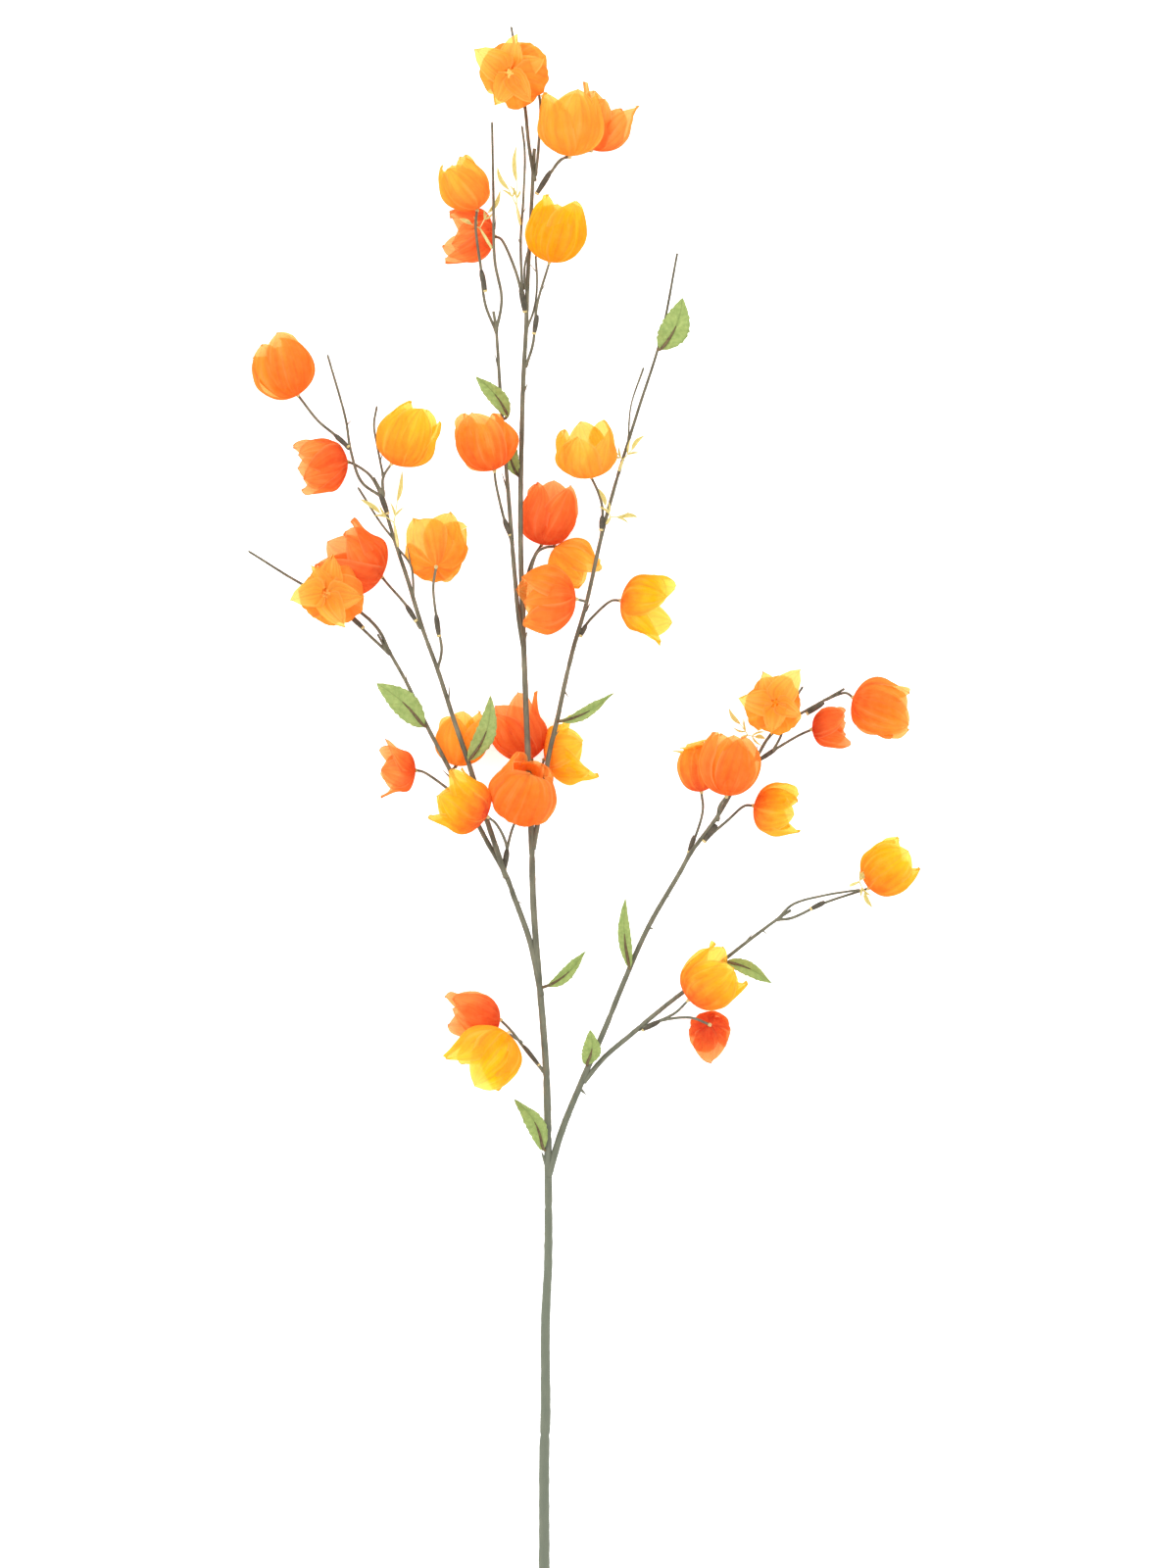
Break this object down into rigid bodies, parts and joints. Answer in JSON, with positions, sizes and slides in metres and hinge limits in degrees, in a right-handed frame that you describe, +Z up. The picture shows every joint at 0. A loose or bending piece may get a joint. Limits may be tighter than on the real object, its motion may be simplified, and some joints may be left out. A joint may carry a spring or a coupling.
{
  "type": "ground cherry cluster",
  "caption": "Long branching spray of ground cherry husks in orange and yellow cloth, with small green leaves and pale sprigs, lying flat on its side.",
  "frame": {"origin": "middle of the spray's footprint, on the surface that it lies on", "axes": "+Y along the stem from its cut end to its tip, +Z up from the surface"},
  "size_m": [0.493, 1.15, 0.0958],
  "materials": {
    "bark": "moulded grey-olive bark over wire, matt",
    "amber_husk": "thin translucent ribbed cloth, heat-formed, matt",
    "orange_husk": "thin translucent ribbed cloth, heat-formed, matt",
    "vermilion_husk": "thin translucent ribbed cloth, heat-formed, matt",
    "yellow_husk": "thin translucent ribbed cloth, heat-formed, matt",
    "leaf": "printed woven leaf cloth, matt",
    "sprig": "pale cream-yellow soft plastic"
  },
  "bodies": {
    "root": {"main_stem": "bark", "right_branch": "bark", "lower_right_branch": "bark", "left_branch": "bark", "inner_left_branch": "bark", "tall_branch": "bark", "middle_branch": "bark", "husk_01": "amber_husk", "husk_02": "amber_husk", "husk_03": "orange_husk", "husk_04": "amber_husk", "husk_05": "vermilion_husk", "husk_06": "yellow_husk", "husk_07": "orange_husk", "husk_08": "vermilion_husk", "husk_09": "yellow_husk", "husk_10": "vermilion_husk", "husk_11": "amber_husk", "husk_12": "amber_husk", "husk_13": "orange_husk", "husk_14": "amber_husk", "husk_15": "vermilion_husk", "husk_16": "amber_husk", "husk_17": "orange_husk", "husk_18": "yellow_husk", "husk_19": "vermilion_husk", "husk_20": "amber_husk", "husk_21": "yellow_husk", "husk_22": "vermilion_husk", "husk_23": "orange_husk", "husk_24": "yellow_husk", "husk_25": "vermilion_husk", "husk_26": "yellow_husk", "husk_27": "amber_husk", "husk_28": "vermilion_husk", "husk_29": "orange_husk", "husk_30": "amber_husk", "husk_31": "orange_husk", "husk_32": "yellow_husk", "husk_33": "yellow_husk", "husk_34": "yellow_husk", "husk_35": "vermilion_husk", "leaf_top": "leaf", "leaf_middle_upper": "leaf", "leaf_middle_lower": "leaf", "leaf_outer_left": "leaf", "leaf_inner_left": "leaf", "leaf_curled": "leaf", "leaf_right": "leaf", "leaf_lower_right": "leaf", "leaf_fork": "leaf", "leaf_narrow": "leaf", "leaf_low": "leaf", "sprig_left_top": "sprig", "sprig_top": "sprig", "sprig_tall": "sprig", "sprig_tall_lower": "sprig", "sprig_left": "sprig", "sprig_right": "sprig", "sprig_lower_right": "sprig"}
  },
  "joints": []
}
